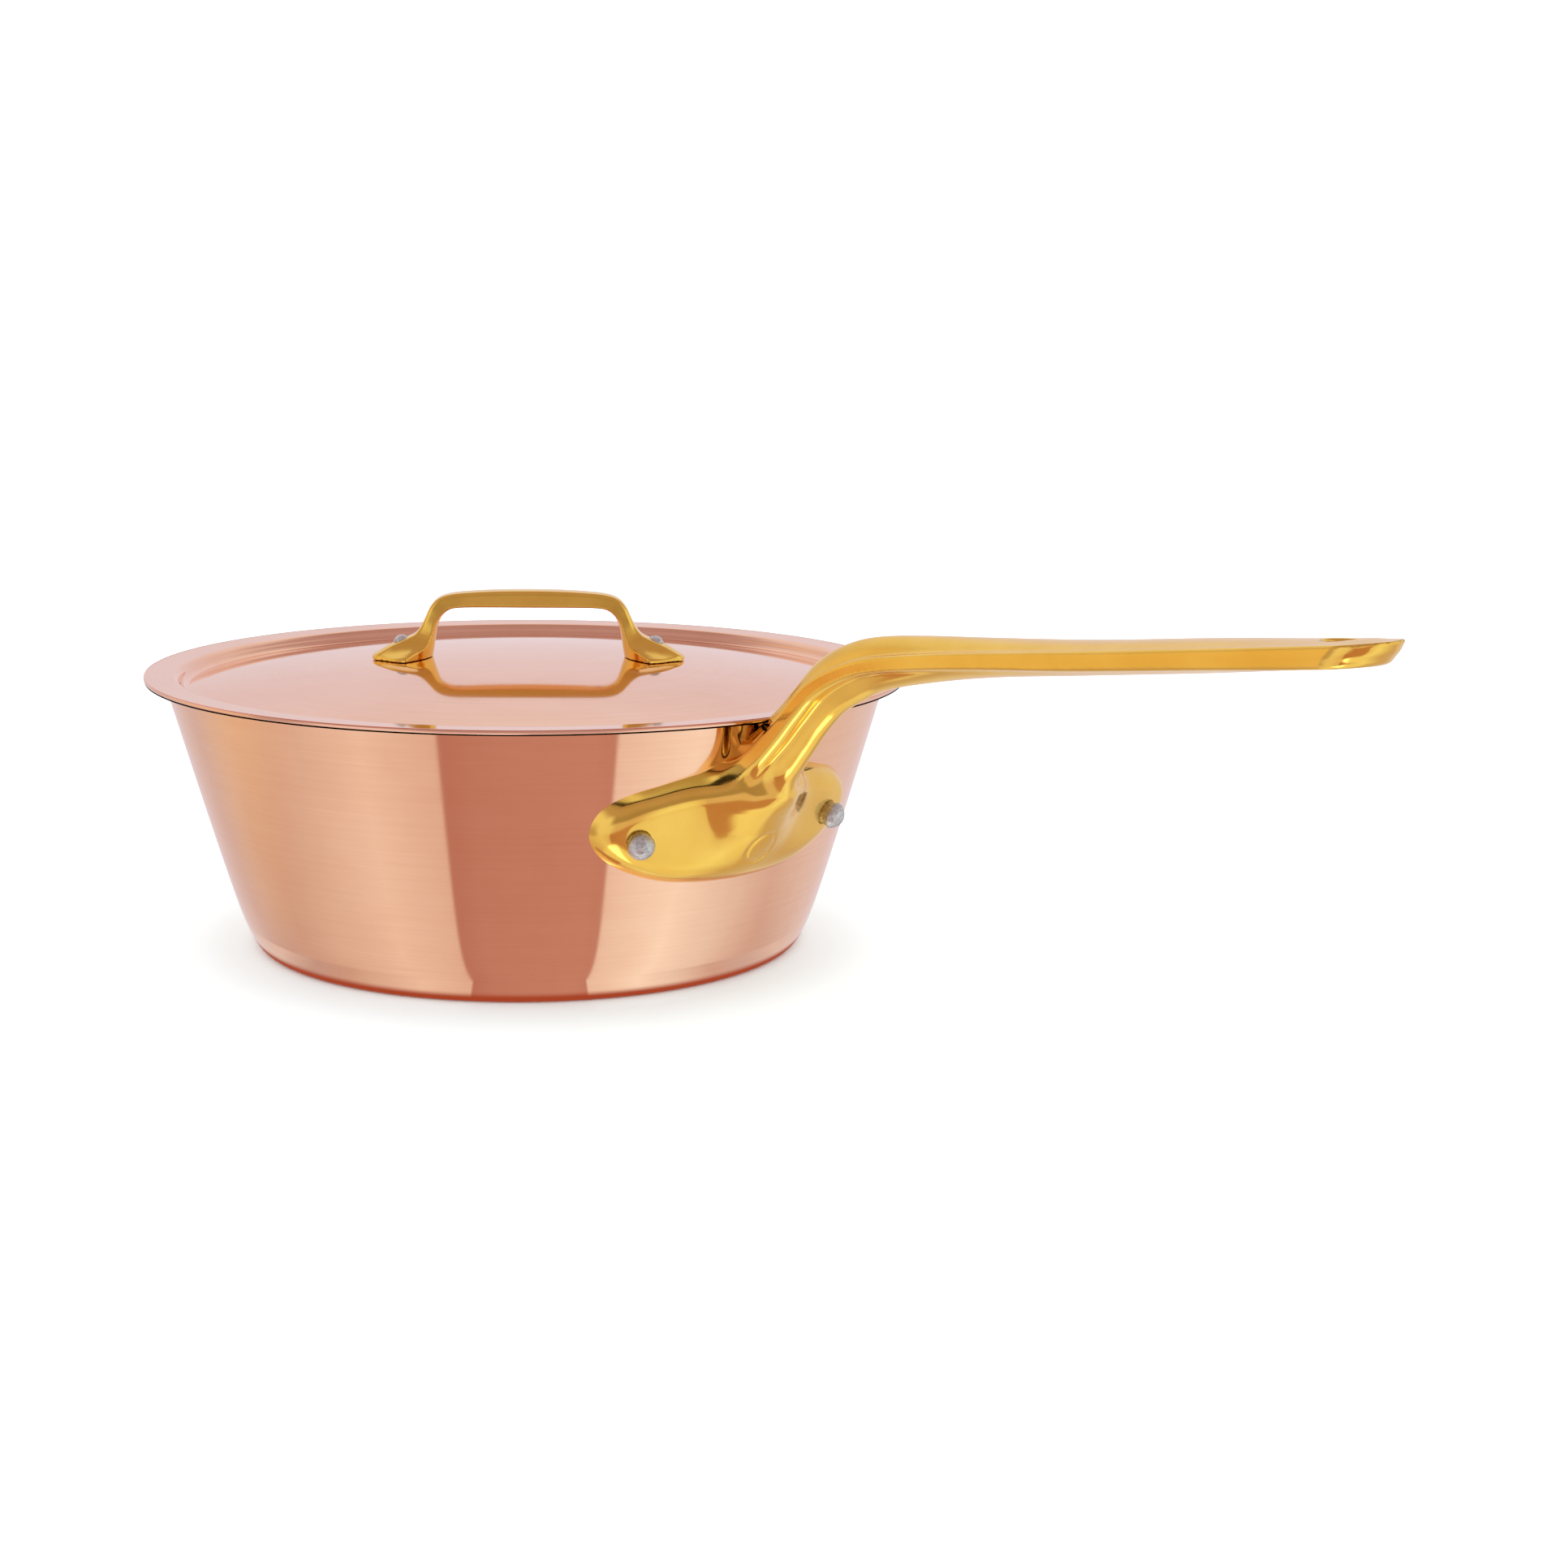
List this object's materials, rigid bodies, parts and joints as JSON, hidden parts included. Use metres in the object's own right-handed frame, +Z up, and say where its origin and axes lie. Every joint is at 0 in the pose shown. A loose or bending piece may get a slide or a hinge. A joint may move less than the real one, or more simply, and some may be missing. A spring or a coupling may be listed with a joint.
{
  "type": "copper saucepan",
  "caption": "Flared copper saucepan with steel lining, a long riveted bronze handle and a domed lid with a riveted bronze bail.",
  "frame": {"origin": "centre of the base, on the surface the pan stands on", "axes": "+Z up through the lid's centre, +X along the long handle, +Y to the left of the handle seen from the pan"},
  "size_m": [0.3964, 0.211, 0.116],
  "materials": {
    "copper": "polished copper, fine brushing round the wall",
    "lid_copper": "mirror-polished copper",
    "bronze": "polished cast bronze",
    "lining_steel": "satin stainless steel, turned grain",
    "rivet_steel": "dull, hammered steel"
  },
  "bodies": {
    "pan": {"pan_body": "copper", "pan_lining": "lining_steel", "pan_handle": "bronze", "handle_rivet_left": "rivet_steel", "handle_rivet_right": "rivet_steel"},
    "lid": {"lid_plate": "lid_copper", "lid_lining": "lining_steel", "lid_handle": "bronze", "lid_rivet_left": "rivet_steel", "lid_rivet_right": "rivet_steel"}
  },
  "joints": [
    {"name": "lid_lift", "type": "slide", "parent": "pan", "child": "lid", "axis": [0, 0, 1], "range_m": [0, 0.12]}
  ]
}
